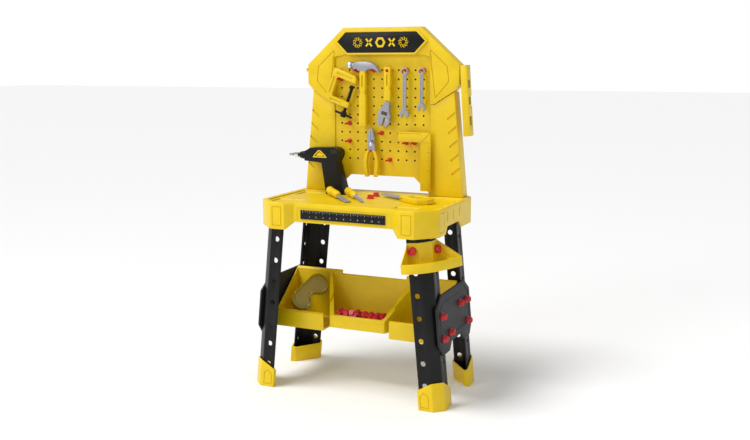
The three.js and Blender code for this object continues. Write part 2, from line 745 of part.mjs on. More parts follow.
function saw() {
  const frame = layDown(103, 32, DECK_Z + GAP, -0.52);
  const grip = [[-4, -20], [-4, 20], [30, 30], [78, 30], [96, 16], [96, -8], [80, -30], [30, -26]];
  const finger = [[20, -8], [20, 10], [34, 17], [68, 17], [78, 6], [66, -14], [34, -13]];
  const slit = block(-10, 12, -30, 30, 5.6, 8.6);
  piece("saw_handle", cut(prismZ(grip, 0, 14), prismZ(finger, -1, 15), slit), yellow, frame);
  const blade = [[11.5, -17], [11.5, 17], [-90, 6], [-96, -2], [-92, -14]];
  piece("saw_blade", prismZ(blade, 5.9, 8.3), grey, frame);
}
saw();

// Toy machine screw with a flanged hexagonal head, along +Z.
function toyBolt() {
  return join(bar("z", 10.5, 0, 2.5, 0, 0, 12), bar("z", 8, 2, 9, 0, 0, 6), bar("z", 4.6, 8, 24, 0, 0, 10));
}

[[3, 26], [0, 72]].forEach(([x, y], i) => {
  const low = join(bar("z", 10.5, 0, 2.5, 0, 0, 14), bar("z", 8, 2, 10, 0, 0, 6));
  const nut = cut(low, bar("z", 4.4, -1, 12, 0, 0, 10));
  piece(`loose_nut_${i + 1}`, nut, red).position.set(x, y, DECK_Z + GAP);
});

// Heap of bolts in the middle tray: two rows that lean on each other over a packed base.
function boltHeap() {
  const parts = [block(-58, 62, -48, -8, 164 + GAP, 184)];
  for (let i = 0; i < 8; i += 1) {
    const bolt = toGeometry(toyBolt());
    bolt.rotateX(Math.PI / 2 + (i % 3) * 0.25 - 0.2);
    bolt.rotateZ((i % 4) * 0.6 - 0.8);
    parts.push(bolt.translate(-46 + i * 14, -20 - (i % 2) * 8, 188 + (i % 3) * 4));
  }
  const room = prismZ([[-66, -50], [66, -50], [112, 40], [-112, 40]], 164 + GAP, 240);
  return join(...parts).intersect(solid(room));
}
piece("bolt_heap", boltHeap(), red);

// ---- safety goggles leaning in the left tray ----
function goggles() {
  const rim = new THREE.Shape();
  rim.moveTo(-58, 4);
  rim.quadraticCurveTo(-56, 28, -30, 30);
  rim.lineTo(30, 30);
  rim.quadraticCurveTo(56, 28, 58, 4);
  rim.quadraticCurveTo(58, -26, 32, -28);
  rim.quadraticCurveTo(16, -28, 9, -8);
  rim.lineTo(-9, -8);
  rim.quadraticCurveTo(-16, -28, -32, -28);
  rim.quadraticCurveTo(-58, -26, -58, 4);
  const points = rim.getSpacedPoints(28).slice(0, -1).map((p) => [p.x, p.y]);
  const shell = plateY(points, -18, 18);
  const room = plateY(inset(points, 2.5), -15, 30);
  return cut(shell, room);
}
const gogglesAcross = new THREE.Vector3(0.45, 0.67, 0.6).normalize();
const gogglesLean = new THREE.Vector3(-0.487, 0.74, -0.467); // roughly where the open side faces
const gogglesUp = new THREE.Vector3().crossVectors(gogglesAcross, gogglesLean).normalize();
const gogglesBack = new THREE.Vector3().crossVectors(gogglesUp, gogglesAcross);
const gogglesMesh = piece("goggles", goggles(), smoke);
gogglesMesh.applyMatrix4(new THREE.Matrix4().makeBasis(gogglesAcross, gogglesBack, gogglesUp));
gogglesMesh.position.set(-166, -2, 232);

// Stand the bench on its own footprint: the origin is the middle of its base.
const reach = new THREE.Box3().setFromObject(group);
const middle = reach.getCenter(new THREE.Vector3());
bench.position.set(-middle.x, -middle.y, -reach.min.z);

export default group;
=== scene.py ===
import json
import math
import random

import bmesh
import bpy
from bpy.props import FloatProperty, FloatVectorProperty, PointerProperty
from mathutils import Matrix, Vector


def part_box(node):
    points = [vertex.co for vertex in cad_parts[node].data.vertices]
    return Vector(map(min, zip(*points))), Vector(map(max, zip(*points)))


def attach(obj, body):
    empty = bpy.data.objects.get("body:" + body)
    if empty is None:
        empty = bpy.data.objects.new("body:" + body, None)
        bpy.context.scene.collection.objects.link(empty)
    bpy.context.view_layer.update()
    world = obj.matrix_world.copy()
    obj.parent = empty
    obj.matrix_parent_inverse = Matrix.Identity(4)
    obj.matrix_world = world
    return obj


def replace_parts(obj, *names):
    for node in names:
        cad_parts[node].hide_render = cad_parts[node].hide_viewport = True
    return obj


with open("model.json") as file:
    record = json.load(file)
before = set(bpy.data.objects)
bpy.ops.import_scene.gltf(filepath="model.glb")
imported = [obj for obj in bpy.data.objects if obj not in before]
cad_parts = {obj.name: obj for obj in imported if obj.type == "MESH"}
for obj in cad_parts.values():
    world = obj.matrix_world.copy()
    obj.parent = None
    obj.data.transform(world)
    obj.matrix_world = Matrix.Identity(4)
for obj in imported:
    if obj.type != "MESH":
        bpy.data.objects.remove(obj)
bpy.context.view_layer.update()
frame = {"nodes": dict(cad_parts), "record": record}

bl_info = {
    "name": "Toy Tool Bench",
    "version": (1, 0, 0),
    "blender": (4, 5, 0),
    "location": "View3D > Sidebar > Tool Bench",
    "description": "Moulded play workbench with a peg board and a set of play tools",
    "category": "Add Mesh",
}

MM = 0.001
HOME = {node: body for body, nodes in frame["record"]["behaviour"]["bodies"].items() for node in nodes}
SLOT = {part["node"]: part["material_slot"] for part in frame["record"]["subparts"]}

# The bench's own centre line: the worktop is symmetrical about it, and its front edge is at TOP_FRONT.
TOP_FRONT = -158.6
_low, _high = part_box("worktop")
CENTRE = Vector(((_low.x + _high.x) / 2, _low.y - TOP_FRONT * MM, 0))

# Sizes of the bench in millimetres, from its centre line
TOP_Z = 504
DECK_Z = 500
APRON_Y = -142
TOP_HALF_W = 246
LEG_X = 212
LEG_Y = 138
SPLAY = 0.0964
LEAN = math.atan(SPLAY)
BOARD_Y = 112
BOARD_T = 6
GRID = 24
GRID_TOP = 837
BOARD_CELLS = 11
PANEL_FACE = 61.5
BOLT_LEVELS = (172.5, 229.6)
TOOL_Y = 95
DRILL_X = -7
DRILL_Y = 77
DRILL_HALF_T = 19
SIGN_Z = 910
RULER_FRONT = APRON_Y - 1.8
RULER_STEP = 4.8
GRIP_DROP = 16.5

# Edges between faces that meet at more than this many degrees are rounded
SHARP = 28

# The camera: its place and focal length in millimetres, its turns in degrees
CAMERA_PLACE = (976.25, -2171.4, 847.4)
CAMERA_LENS = 43.79
CAMERA_DIP = 9.567
CAMERA_TURN = 23.593

# Index of refraction of the opaque plastics and of clear polycarbonate
PLASTIC_IOR = 1.53
CLEAR_IOR = 1.58


def at(x, y, z):
    """A place given in millimetres from the bench's centre line."""
    return CENTRE + Vector((x, y, z)) * MM


# ---- colours and finishes ----
def srgb(code):
    """Linear colour of an sRGB hex value."""
    parts = [int(code[i:i + 2], 16) / 255 for i in (1, 3, 5)]
    return tuple(c / 12.92 if c <= 0.04045 else ((c + 0.055) / 1.055) ** 2.4 for c in parts)


def add_node(tree, kind, links=None, values=None, **settings):
    """One node with its settings, its constant inputs and the sockets that feed it."""
    node = tree.nodes.new(kind)
    for key, value in settings.items():
        setattr(node, key, value)
    for key, value in (values or {}).items():
        node.inputs[key].default_value = value
    for key, socket in (links or {}).items():
        tree.links.new(socket, node.inputs[key])
    return node


def moulded_finish(name, colour, rough, grain, speck=0.05, ior=PLASTIC_IOR, **shader):
    """Injection-moulded plastic: grain is the size of the mould's texture in millimetres.

    An ior of None leaves the shader's own, as a metal needs.
    """
    found = bpy.data.materials.get(name)
    if found:
        return found
    material = bpy.data.materials.new(name)
    material.use_nodes = True
    tree = material.node_tree
    tree.nodes.clear()
    flow_size, scuff_size = 0.045, 0.012
    place = add_node(tree, "ShaderNodeTexCoord").outputs["Object"]
    # Flow of the melt: broad, faint changes of depth in the colour, a few centimetres across
    flow = add_node(tree, "ShaderNodeTexNoise", {"Vector": place}, {"Scale": 1 / flow_size, "Detail": 3.0})
    # Grain of the mould, drawn several times coarser than real so that it shows
    skin = add_node(tree, "ShaderNodeTexNoise", {"Vector": place}, {"Scale": 1000 / grain, "Detail": 2.0})
    # Handling scuffs: short hairline marks 12 mm long
    streak = add_node(tree, "ShaderNodeMapping", {"Vector": place},
                      {"Scale": (1.0, 6.0, 14.0), "Rotation": (0.3, 0.5, 0.8)})
    scuff = add_node(tree, "ShaderNodeTexNoise", {"Vector": streak.outputs[0]},
                     {"Scale": 1 / scuff_size, "Detail": 4.0})
    dark = tuple(c * (1 - speck) for c in colour)
    light = tuple(min(1.0, c * (1 + speck) + 0.002) for c in colour)
    ramp = add_node(tree, "ShaderNodeValToRGB", {"Fac": flow.outputs["Fac"]})
    ramp.color_ramp.elements[0].position = 0.3
    ramp.color_ramp.elements[0].color = (*dark, 1)
    ramp.color_ramp.elements[1].position = 0.7
    ramp.color_ramp.elements[1].color = (*light, 1)
    sheen = add_node(tree, "ShaderNodeMapRange", {"Value": scuff.outputs["Fac"]},
                     {"From Min": 0.35, "From Max": 0.75, "To Min": rough - 0.05, "To Max": rough + 0.12})
    fine = add_node(tree, "ShaderNodeBump", {"Height": skin.outputs["Fac"]},
                    {"Strength": 0.16, "Distance": 0.4 * MM})
    broad = add_node(tree, "ShaderNodeBump", {"Height": flow.outputs["Fac"], "Normal": fine.outputs[0]},
                     {"Strength": 0.12, "Distance": 2 * MM})
    values = {key.replace("_", " "): value for key, value in shader.items()}
    if ior is not None:
        values["IOR"] = ior
    links = {"Base Color": ramp.outputs[0], "Roughness": sheen.outputs[0], "Normal": broad.outputs[0]}
    body = add_node(tree, "ShaderNodeBsdfPrincipled", links, values)
    add_node(tree, "ShaderNodeOutputMaterial", {"Surface": body.outputs[0]})
    return material


def picked(key):
    """A colour that the user has picked."""
    return tuple(getattr(bpy.context.scene.tool_bench_colours, key))


def yellow_abs():
    # Yellow ABS, moulded with a satin skin: an even, saturated body with soft highlights
    return moulded_finish("yellow_abs_moulded", picked("yellow"), 0.36, 1.6, 0.05, Specular_IOR_Level=0.34)


def black_pp():
    # Black polypropylene, moulded: deep and slightly waxy, so that edges catch a broad grey light
    return moulded_finish("black_polypropylene_moulded", picked("black"), 0.4, 1.4, 0.25,
                          Specular_IOR_Level=0.22)


def charcoal_pp():
    # Charcoal polypropylene, moulded in a spark-eroded tool: an even, matt skin with hardly a highlight
    return moulded_finish("charcoal_polypropylene_eroded", picked("charcoal"), 0.54, 1.2, 0.12,
                          Specular_IOR_Level=0.25)


def red_abs():
    # Red ABS, moulded in a polished tool: a strong colour with small, clear highlights
    return moulded_finish("red_abs_moulded", picked("red"), 0.3, 1.8, 0.06)


def grey_abs():
    # Grey ABS with a mica pigment, which gives play tools a dull metal look
    return moulded_finish("grey_mica_abs_moulded", picked("grey"), 0.34, 1.0, 0.06, Metallic=0.25)


def bright_plate():
    # Vacuum-metallised ABS: a thin bright metal coat that mirrors the room softly
    return moulded_finish("metallised_abs_bright", picked("bright"), 0.12, 2.4, 0.03, ior=None, Metallic=1.0)


def white_ink():
    # White pad-printed ink: thin, flat and a little chalky
    return moulded_finish("white_ink_printed", picked("ink"), 0.55, 0.9, 0.04)


def painted_shade_and_marks():
    # Painted shade: a dark brown painted where the bottoms of deep recesses lie in shade; the try square's
    # marks use it as their own colour
    return moulded_finish("dark_recess_moulded", picked("recess"), 0.6, 1.2, 0.1)


def amber_pc():
    # Amber polycarbonate, moulded clear: some light passes, and is tinted
    return moulded_finish("amber_polycarbonate_clear", picked("amber"), 0.12, 3.0, 0.05, CLEAR_IOR,
                          Transmission_Weight=0.22)


def lens_pc():
    # Lightly tinted polycarbonate, moulded clear: most light passes, and the skin is glossy
    return moulded_finish("tinted_polycarbonate_clear", picked("lens"), 0.08, 4.0, 0.03, CLEAR_IOR,
                          Transmission_Weight=0.6)


# ---- mesh helpers ----
def turned(profile, steps=32):
    """Solid turned about +Z from (radius, height) pairs in millimetres that begin and end on the axis."""
    bm = bmesh.new()
    verts = [bm.verts.new((r * MM, 0, h * MM)) for r, h in profile]
    edges = [bm.edges.new(pair) for pair in zip(verts, verts[1:])]
    bmesh.ops.spin(bm, geom=verts + edges, angle=math.tau, steps=steps, axis=(0, 0, 1), cent=(0, 0, 0),
                   use_merge=True)
    bmesh.ops.remove_doubles(bm, verts=bm.verts, dist=1e-6)
    bmesh.ops.recalc_face_normals(bm, faces=bm.faces)
    return bm


def prism(outline, low, high):
    """Outline in X-Y, in millimetres, raised from low to high."""
    bm = bmesh.new()
    face = bm.faces.new([bm.verts.new((x * MM, y * MM, low * MM)) for x, y in outline])
    raised = bmesh.ops.extrude_face_region(bm, geom=[face])["geom"]
    top = [v for v in raised if isinstance(v, bmesh.types.BMVert)]
    bmesh.ops.translate(bm, verts=top, vec=(0, 0, (high - low) * MM))
    bmesh.ops.recalc_face_normals(bm, faces=bm.faces)
    return bm


def box(x0, x1, y0, y1, z0, z1):
    """Block between two limits on each axis, in millimetres."""
    return prism([(x0, y0), (x1, y0), (x1, y1), (x0, y1)], z0, z1)


def placed(bm, matrix):
    """The same mesh, moved and turned."""
    bmesh.ops.transform(bm, matrix=matrix, verts=bm.verts)
    return bm


def gathered(parts):
    """Several small meshes as one."""
    whole = bmesh.new()
    for part in parts:
        mesh = bpy.data.meshes.new("part")
        part.to_mesh(mesh)
        part.free()
        whole.from_mesh(mesh)
        bpy.data.meshes.remove(mesh)
    return whole


def rounded(bm, width, keep=None):
    """Rounds the sharp edges by a width in millimetres, wherever the faces beside them leave room for it."""
    bm.normal_update()
    room = 2.1 * width * MM
    sharp = [e for e in bm.edges if e.is_manifold and e.calc_face_angle(0) > math.radians(SHARP)]
    if keep:
        sharp = [e for e in sharp if keep(e)]
    roomy = [e for e in sharp if min(n.calc_length() for v in e.verts for n in v.link_edges) > room]
    if roomy:
        bmesh.ops.bevel(bm, geom=roomy, offset=width * MM, offset_type="OFFSET", segments=2, profile=0.5,
                        affect="EDGES", clamp_overlap=True, material=-1)
    return bm


def split(bm, place, normal):
    """Cuts all the faces along a plane, so that a detail or a second colour can begin there."""
    geom = bm.verts[:] + bm.edges[:] + bm.faces[:]
    bmesh.ops.bisect_plane(bm, geom=geom, dist=1e-7, plane_co=place, plane_no=normal)


def ring(outline, width, low, high):
    """Flat frame inside an outline in X-Y, in millimetres, raised from low to high."""
    bm = bmesh.new()
    face = bm.faces.new([bm.verts.new((x * MM, y * MM, low * MM)) for x, y in outline])
    bm.normal_update()
    bmesh.ops.inset_region(bm, faces=[face], thickness=width * MM, use_even_offset=True, use_boundary=True)
    bmesh.ops.delete(bm, geom=[face], context="FACES_ONLY")
    raised = bmesh.ops.extrude_face_region(bm, geom=bm.faces[:])["geom"]
    top = [v for v in raised if isinstance(v, bmesh.types.BMVert)]
    bmesh.ops.translate(bm, verts=top, vec=(0, 0, (high - low) * MM))
    bmesh.ops.recalc_face_normals(bm, faces=bm.faces)
    return bm


def finished(name, bm, body, finish, smooth=38):
    """Makes the object of a mesh, and lets it ride on its body.

    Edges up to smooth degrees are shaded as one surface.
    """
    bm.normal_update()
    for face in bm.faces:
        face.smooth = True
    for edge in bm.edges:
        edge.smooth = not edge.is_manifold or edge.calc_face_angle(0) < math.radians(smooth)
    mesh = bpy.data.meshes.new(name)
    bm.to_mesh(mesh)
    bm.free()
    mesh.materials.append(finish)
    piece = bpy.data.objects.new(name, mesh)
    bpy.context.scene.collection.objects.link(piece)
    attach(piece, body)
    return piece


def facing(bm, out, level):
    """Faces that look along a direction and lie at a level along it."""
    near = 0.4 * MM
    return [f for f in bm.faces
            if f.normal.dot(out) > 0.995 and abs(f.calc_center_median().dot(out) - level) < near]


def sunk(bm, outline, out, depth, lip=0.5):
    """Sinks the part of a flat face inside a convex outline. A negative depth raises it."""
    bm.normal_update()
    out = Vector(out).normalized()
    points = [Vector(p) for p in outline]
    centre = sum(points, Vector()) / len(points)
    level = centre.dot(out)
    sides = []
    for a, b in zip(points, points[1:] + points[:1]):
        across = (b - a).cross(out).normalized()
        if (centre - a).dot(across) > 0:
            across = -across
        sides.append((a, across))
        faces = facing(bm, out, level)
        geom = list({g for f in faces for g in (*f.verts, *f.edges)}) + faces
        bmesh.ops.bisect_plane(bm, geom=geom, dist=1e-7, plane_co=a, plane_no=across)
        bm.normal_update()
    inside = [f for f in facing(bm, out, level)
              if all((f.calc_center_median() - a).dot(n) < 0 for a, n in sides)]
    if not inside:
        raise ValueError("no flat face lies inside the outline")
    bmesh.ops.inset_region(bm, faces=inside, thickness=lip * MM, depth=-depth * MM, use_even_offset=True,
                           use_boundary=True)
    bm.normal_update()
    return inside


def scored(bm, outline, out, depth, width):
    """Cuts a narrow groove along an outline, and leaves the area inside it at its level."""
    wall = 0.3
    inside = sunk(bm, outline, out, depth, wall)
    bmesh.ops.inset_region(bm, faces=inside, thickness=width * MM, use_even_offset=True, use_boundary=True)
    bmesh.ops.inset_region(bm, faces=inside, thickness=wall * MM, depth=depth * MM, use_even_offset=True,
                           use_boundary=True)
    bm.normal_update()


def node_mesh(node):
    """A merged copy of a CAD node, its flat areas joined into whole faces."""
    bm = bmesh.new()
    bm.from_mesh(frame["nodes"][node].data)
    bmesh.ops.remove_doubles(bm, verts=bm.verts, dist=2e-6)
    bmesh.ops.dissolve_limit(bm, angle_limit=math.radians(1.0), verts=bm.verts, edges=bm.edges,
                             delimit={"NORMAL"})
    bm.normal_update()
    return bm


def moulding(node, finish, edge, detail=None, smooth=38):
    """The visual piece of a CAD node: its own shape with sunk details and rounded edges."""
    bm = rounded(node_mesh(node), edge)
    if detail:
        detail(bm)
    piece = finished(node + "_moulding", bm, HOME[node], finish, smooth)
    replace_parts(piece, node)
    return piece


def zone(piece, finish, test):
    """Gives a second finish to the faces whose centre passes a test."""
    piece.data.materials.append(finish)
    index = len(piece.data.materials) - 1
    for face in piece.data.polygons:
        if test(face.center):
            face.material_index = index


def leaning(side):
    """Place of the frame that leans with the legs of one side."""
    return Matrix.Translation(at(side * LEG_X, 0, 0)) @ Matrix.Rotation(-side * LEAN, 4, "Y")


def turn_to(place, heading, tilt):
    """Place of a tool that lies on the worktop, with its own +X along its length."""
    return Matrix.Translation(place) @ Matrix.Rotation(heading, 4, "Z") @ Matrix.Rotation(tilt, 4, "Y")


def moved(x, y, z):
    """A move in millimetres."""
    return Matrix.Translation(Vector((x, y, z)) * MM)


# Quarter turns that lay a +Z piece towards the user, or along +X
TO_USER = Matrix.Rotation(math.pi / 2, 4, "X")
TO_SIDE = Matrix.Rotation(math.pi / 2, 4, "Y")


# ---- what a user would change ----
def colour(name, description, code):
    """Property for a colour, with its sRGB default."""
    return FloatVectorProperty(name=name, description=description, subtype="COLOR", min=0, max=1,
                               default=srgb(code))


class ToolBenchColours(bpy.types.PropertyGroup):
    """Colours of the bench's plastics, and the painted shade of its recesses."""

    yellow: colour("Yellow", "Body and grips", "#E3C103")
    black: colour("Black", "Legs and drill", "#0B0B0D")
    charcoal: colour("Charcoal", "Side panels and foot of the drill", "#26272A")
    red: colour("Red", "Pegs and fasteners", "#C81E28")
    grey: colour("Grey", "Tool heads", "#9A9CA4")
    bright: colour("Bright", "Hammer face, rivet and drill bit", "#DCDEE2")
    ink: colour("Ink", "Marks and numbers of the ruler", "#B9BAB8")
    # Painted shade for the bottoms of recesses, which the try square's marks share as their own colour
    recess: colour("Recess", "Bottoms of recesses", "#3A3006")
    lens: colour("Lens", "Panes of the goggles", "#CDB84A")
    amber: colour("Amber", "Goggles", "#A08A10")


class ToolBenchSizes(bpy.types.PropertyGroup):
    """Sizes that set how crisp the mouldings look."""

    hole: FloatProperty(name="Peg hole", description="Width of a hole in the board", unit="LENGTH",
                        default=5.0 * MM)
    edge: FloatProperty(name="Large edge", description="Rounding of the large mouldings", unit="LENGTH",
                        default=1.8 * MM)
    fine: FloatProperty(name="Fine edge", description="Rounding of the legs", unit="LENGTH", default=0.8 * MM)


def size(key):
    """A size that the user has set, in millimetres."""
    return getattr(bpy.context.scene.tool_bench_sizes, key) / MM


# ---- structure ----
class TOOLBENCH_OT_worktop(bpy.types.Operator):
    """Worktop with its sunk trays, rim grooves and ruler"""

    bl_idname = "tool_bench.worktop"
    bl_label = "Worktop"
    bl_options = {"REGISTER", "UNDO"}

    def execute(self, context):
        def detail(bm):
            depth, width = 1.6, 1.4
            for side in (-1, 1):
                corner = ((165, 444), (192, 444), (192, 494), (165, 494))
                scored(bm, [at(side * x, TOP_FRONT, z) for x, z in corner], (0, -1, 0), depth, width)
                block = ((-106, 444), (-70, 444), (-70, 494), (-106, 494))
                scored(bm, [at(side * TOP_HALF_W, y, z) for y, z in block], (side, 0, 0), depth, width)
                for y in (-47, -1, 44):
                    groove = ((234, y - 5), (242.5, y - 5), (242.5, y + 5), (234, y + 5))
                    sunk(bm, [at(side * x, v, TOP_Z) for x, v in groove], (0, 0, 1), 2.0, 1.5)
                    slot = ((y - 3, 466), (y + 3, 466), (y + 3, 492), (y - 3, 492))
                    sunk(bm, [at(side * TOP_HALF_W, v, z) for v, z in slot], (side, 0, 0), 2.2)
            trays = (
                ((-222, -118), (-196, -140), (-150, -140), (-150, -60), (-222, -60)),
                ((-222, 20), (-160, 20), (-160, 86), (-222, 86)),
                ((120, -118), (182, -118), (182, -70), (120, -70)),
            )
            for tray in trays:
                sunk(bm, [at(x, y, DECK_Z) for x, y in tray], (0, 0, 1), 2.6, 1.2)
            panel = ((-128, 458), (128, 458), (128, 492), (-128, 492))
            sunk(bm, [at(x, APRON_Y, z) for x, z in panel], (0, -1, 0), 1.0)

        moulding("worktop", yellow_abs(), size("edge"), detail)
        moulding("ruler_strip", black_pp(), 0.4)
        steps, half_line, marks_top, numbers = 46, 0.35, 485, 11
        marks = []
        for i in range(steps + 1):
            tall = 6 if i % 4 == 0 else 4 if i % 2 == 0 else 2.4
            x = (i - steps / 2) * RULER_STEP
            marks.append(box(x - half_line, x + half_line, RULER_FRONT - 0.1, RULER_FRONT + 0.3,
                             marks_top - tall, marks_top))
        strip = placed(gathered(marks), Matrix.Translation(CENTRE))
        finished("ruler_marks", strip, HOME["ruler_strip"], white_ink())
        for i in range(numbers):
            x = (i * 4 - 19) * RULER_STEP
            label(f"ruler_number_{i + 1}", str(i + 1), 6.0, at(x, RULER_FRONT - 0.05, 468))
        return {"FINISHED"}


def label(name, text, height, place):
    """A number printed on the ruler, a fifth of a millimetre thick."""
    curve = bpy.data.curves.new(name, "FONT")
    curve.body = text
    curve.size = height * MM
    curve.extrude = 0.1 * MM
    curve.align_x = "CENTER"
    holder = bpy.data.objects.new(name, curve)
    bpy.context.scene.collection.objects.link(holder)
    bpy.context.view_layer.update()
    drawn = bpy.data.meshes.new_from_object(holder.evaluated_get(bpy.context.evaluated_depsgraph_get()))
    bpy.data.objects.remove(holder)
    bm = bmesh.new()
    bm.from_mesh(drawn)
    bpy.data.meshes.remove(drawn)
    placed(bm, Matrix.Translation(place) @ TO_USER)
    finished(name, bm, HOME["ruler_strip"], white_ink())


class TOOLBENCH_OT_legs(bpy.types.Operator):
    """Four legs of angle section, each in its shoe"""

    bl_idname = "tool_bench.legs"
    bl_label = "Legs and shoes"
    bl_options = {"REGISTER", "UNDO"}

    def execute(self, context):
        for end_name, end in (("front", -1), ("back", 1)):
            for side_name, side in (("left", -1), ("right", 1)):
                def badge(bm, end=end, side=side):
                    shape = ((2, 8), (26, 8), (26, 40), (14, 48), (2, 36))
                    outline = [at(side * (LEG_X + u - SPLAY * z), end * (LEG_Y + 4), z) for u, z in shape]
                    scored(bm, outline, (0, end, 0), 1.6, 1.2)

                moulding(f"leg_{end_name}_{side_name}", black_pp(), size("fine"))
                moulding(f"foot_{end_name}_{side_name}", yellow_abs(), 1.2, badge)
        return {"FINISHED"}


def socketed(bm, level, rim, depth):
    """Sinks a socket into the flat end of a turned head that points along +Z."""
    bm.normal_update()
    end = [f for f in bm.faces if f.normal.z > 0.99 and abs(f.calc_center_median().z - level * MM) < 1e-5]
    bmesh.ops.inset_region(bm, faces=end, thickness=rim * MM, depth=-depth * MM, use_even_offset=True)
    return bm


def panel_bolt(reach):
    """Head of a panel bolt: a flange, a dome and a sunk socket, pointing along +Z."""
    bm = turned([(0, 0), (10, 0), (10, 2.4), (8.2, 3.2), (7.6, reach - 2), (6.2, reach), (0, reach)], 24)
    return socketed(bm, reach, 3.0, 2.4)


class TOOLBENCH_OT_side_panels(bpy.types.Operator):
    """Side panels with six bolts each"""

    bl_idname = "tool_bench.side_panels"
    bl_label = "Side panels"
    bl_options = {"REGISTER", "UNDO"}

    def execute(self, context):
        raised = -0.8
        for name, side in (("left", -1), ("right", 1)):
            node = "side_panel_" + name
            frame_place = leaning(side)
            back = frame_place.inverted()
            bm = node_mesh(node)
            limit = (PANEL_FACE + 0.5) * MM
            proud = [f for f in bm.faces if side * (back @ f.calc_center_median()).x > limit]
            bmesh.ops.delete(bm, geom=proud, context="FACES")
            bmesh.ops.holes_fill(bm, edges=[e for e in bm.edges if e.is_boundary], sides=0)
            bm.normal_update()
            rounded(bm, 1.0)
            out = frame_place.to_3x3() @ Vector((side, 0, 0))
            for inset, depth, level in ((13, 1.2, PANEL_FACE), (22, raised, PANEL_FACE - 1.2)):
                shape = ((-129 + inset, 160 + inset * 0.6), (129 - inset, 160 + inset * 0.6),
                         (129 - inset, 255 - inset * 0.4), (92 - inset * 0.5, 283 - inset),
                         (-92 + inset * 0.5, 283 - inset), (-129 + inset, 255 - inset * 0.4))
                outline = [frame_place @ (Vector((side * level, y, z)) * MM) for y, z in shape]
                sunk(bm, outline, out, depth)
            piece = finished(node + "_moulding", bm, HOME[node], charcoal_pp())
            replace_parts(piece, node)
            low, high = BOLT_LEVELS
            places = ((-96, high), (-96, low), (96, high), (96, low), (43, high + 2), (-43, low + 4))
            for i, (y, z) in enumerate(places):
                spot = frame_place @ moved(side * PANEL_FACE, y, z)
                bolt = placed(panel_bolt(12.6), spot @ Matrix.Rotation(side * math.pi / 2, 4, "Y"))
                finished(f"panel_bolt_{name}_{i + 1}", bolt, HOME[node], red_abs())
        return {"FINISHED"}


class TOOLBENCH_OT_shelf(bpy.types.Operator):
    """Storage shelf with three trays"""

    bl_idname = "tool_bench.shelf"
    bl_label = "Storage shelf"
    bl_options = {"REGISTER", "UNDO"}

    def execute(self, context):
        def detail(bm):
            for x0, x1 in ((-84, -6), (6, 84)):
                outline = [at(x, -58, z) for x, z in ((x0, 166), (x1, 166), (x1, 184), (x0, 184))]
                sunk(bm, outline, (0, -1, 0), 0.8)

        moulding("storage_shelf", yellow_abs(), 1.4, detail)
        return {"FINISHED"}


class TOOLBENCH_OT_bin(bpy.types.Operator):
    """Corner bin with its two thumb screws"""

    bl_idname = "tool_bench.bin"
    bl_label = "Corner bin"
    bl_options = {"REGISTER", "UNDO"}

    def execute(self, context):
        moulding("corner_bin", yellow_abs(), 1.0)
        frame_place = leaning(1)
        seats = {
            "bin_screw_front": (Vector((17, -141.7, 404.5)), TO_USER),
            "bin_screw_side": (Vector((59.7, -96, 400.8)), TO_SIDE),
        }
        for node, (seat, direction) in seats.items():
            end = 10.4
            flutes, flute_depth = 12, 0.05
            profile = [(0, 0), (9.4, 0), (10.5, 1.4), (10.5, 9.6), (9.2, 11.6), (7.2, 11.9), (6.6, end),
                       (0, end)]
            bm = turned(profile, flutes * 3)
            for vert in bm.verts:
                if 1.0 * MM < vert.co.z < end * MM and vert.co.xy.length > 10 * MM:
                    flute = 1 - flute_depth * (1 + math.cos(flutes * math.atan2(vert.co.y, vert.co.x)))
                    vert.co.x *= flute
                    vert.co.y *= flute
            socketed(bm, end, 2.2, 2.6)
            placed(bm, frame_place @ Matrix.Translation(seat * MM) @ direction)
            piece = finished(node + "_head", bm, HOME[node], red_abs())
            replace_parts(piece, node)
        return {"FINISHED"}


def holed_board(x0, z0, hole):
    """Flat front of the board: square cells with a rounded hole in each."""
    bm = bmesh.new()
    pitch = GRID * MM
    bmesh.ops.create_grid(bm, x_segments=BOARD_CELLS, y_segments=BOARD_CELLS, size=0.5)
    bmesh.ops.scale(bm, vec=(BOARD_CELLS * pitch, BOARD_CELLS * pitch, 1), verts=bm.verts)
    inner = list(bm.faces)
    bmesh.ops.inset_individual(bm, faces=inner, thickness=(pitch - hole) / 2, use_even_offset=True)
    corners = list({v for f in inner for v in f.verts})
    bmesh.ops.bevel(bm, geom=corners, offset=hole * 0.29, offset_type="OFFSET", segments=2, profile=0.5,
                    affect="VERTICES", clamp_overlap=False, material=-1)
    middles = [f for f in bm.faces
               if all(abs(c / pitch - round(c / pitch)) < 0.02 for c in f.calc_center_median().xy)]
    bmesh.ops.delete(bm, geom=middles, context="FACES_ONLY")
    middle = at(x0 + BOARD_CELLS * GRID / 2, BOARD_Y, z0 + BOARD_CELLS * GRID / 2)
    return placed(bm, Matrix.Translation(middle) @ TO_USER)


